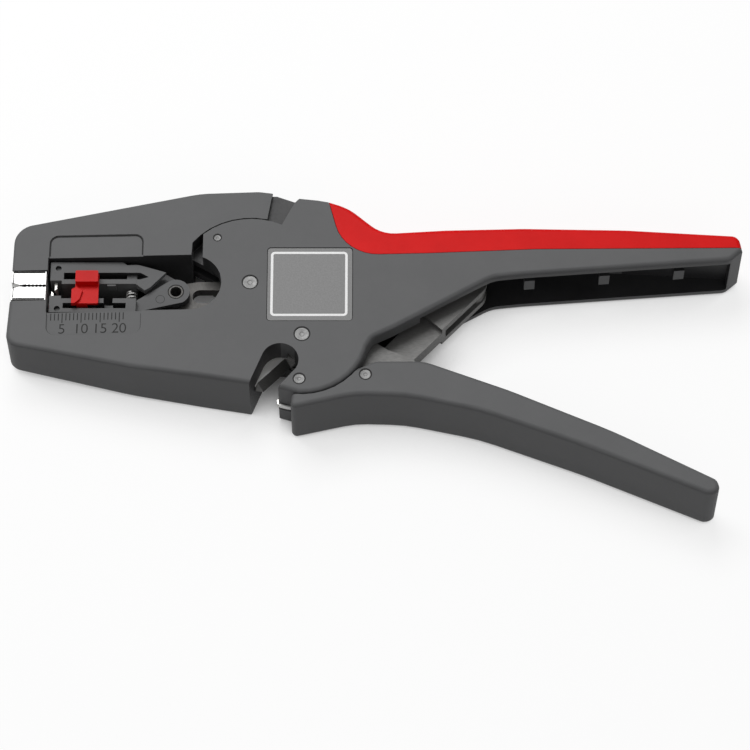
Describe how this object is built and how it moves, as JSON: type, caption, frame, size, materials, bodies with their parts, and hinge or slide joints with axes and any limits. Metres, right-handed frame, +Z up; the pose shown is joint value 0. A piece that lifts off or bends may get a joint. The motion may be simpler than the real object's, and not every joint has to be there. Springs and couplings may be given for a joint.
{
  "type": "automatic wire stripper",
  "caption": "Hand tool that clamps a wire in its nose jaws and pulls the insulation off with a sliding pair of knives, with a wire cutter notch and a sprung handle.",
  "frame": {"origin": "middle of the footprint of the tool lying on its far face", "axes": "+X from the nose to the handle ends, +Y from the moving handle to the fixed one, +Z up from the far face to the near face"},
  "size_m": [0.1952, 0.09, 0.019],
  "materials": {
    "moulding": "fine matte moulding",
    "soft_red": "soft satin skin",
    "red_slide": "satin moulding",
    "plate": "matte printed plate",
    "steel": "bright ground steel",
    "dark_steel": "blackened",
    "pins": "turned steel",
    "springs": "drawn wire"
  },
  "bodies": {
    "frame": {"main_body": "moulding", "grip_inlay": "soft_red", "rating_plate": "plate", "lower_clamp_jaw": "steel", "counter_blade": "steel", "jaw_pivot_pin": "pins", "handle_pivot_pin": "pins", "counter_blade_pin": "pins", "jaw_stop_pin": "pins", "return_spring": "springs"},
    "jaw": {"upper_jaw": "moulding", "upper_clamp_jaw": "steel"},
    "handle": {"handle_shell": "moulding", "near_lever_plate": "dark_steel", "far_lever_plate": "dark_steel", "cutter_blade": "steel", "link_foot_pin": "pins", "blade_rivet": "pins"},
    "link": {"drive_link": "dark_steel", "link_head_pin": "pins"},
    "carriage": {"pull_rod": "dark_steel", "lower_knife_arm": "moulding", "lower_knife": "steel", "arm_spring": "springs", "arm_pin": "pins"},
    "upper_arm": {"upper_knife_arm": "moulding", "upper_knife": "steel"},
    "stop": {"length_stop": "red_slide"}
  },
  "joints": [
    {"name": "jaw_hinge", "type": "hinge", "parent": "frame", "child": "jaw", "pos_m": [-0.03342, 0.01695, 0.0095], "axis": [0, 0, -1], "range_deg": [0, 12]},
    {"name": "handle_hinge", "type": "hinge", "parent": "frame", "child": "handle", "pos_m": [-0.01952, 0.00135, 0.0095], "axis": [0, 0, 1], "range_deg": [0, 22], "stiffness_Nm_per_rad": 0.6, "springref_deg": -5.73},
    {"name": "link_hinge", "type": "hinge", "parent": "handle", "child": "link", "pos_m": [-0.00282, -0.01045, 0.0095], "axis": [0, 0, 1], "range_deg": [-35.1, 0]},
    {"name": "carriage_slide", "type": "slide", "parent": "frame", "child": "carriage", "axis": [1, 0, 0], "range_m": [0, 0.0093], "deforming": ["return_spring"]},
    {"name": "arm_hinge", "type": "hinge", "parent": "carriage", "child": "upper_arm", "pos_m": [-0.05332, 0.01695, 0.0095], "axis": [0, 0, 1], "range_deg": [0, 2.4]},
    {"name": "stop_slide", "type": "slide", "parent": "carriage", "child": "stop", "axis": [1, 0, 0], "range_m": [-0.0035, 0.0096]}
  ],
  "couplings": [
    {"joint": "link_hinge", "follows": "handle_hinge", "ratio": -1.595},
    {"joint": "carriage_slide", "follows": "handle_hinge", "m_per_rad": 0.0242},
    {"joint": "arm_hinge", "follows": "handle_hinge", "ratio": 0.10904}
  ]
}
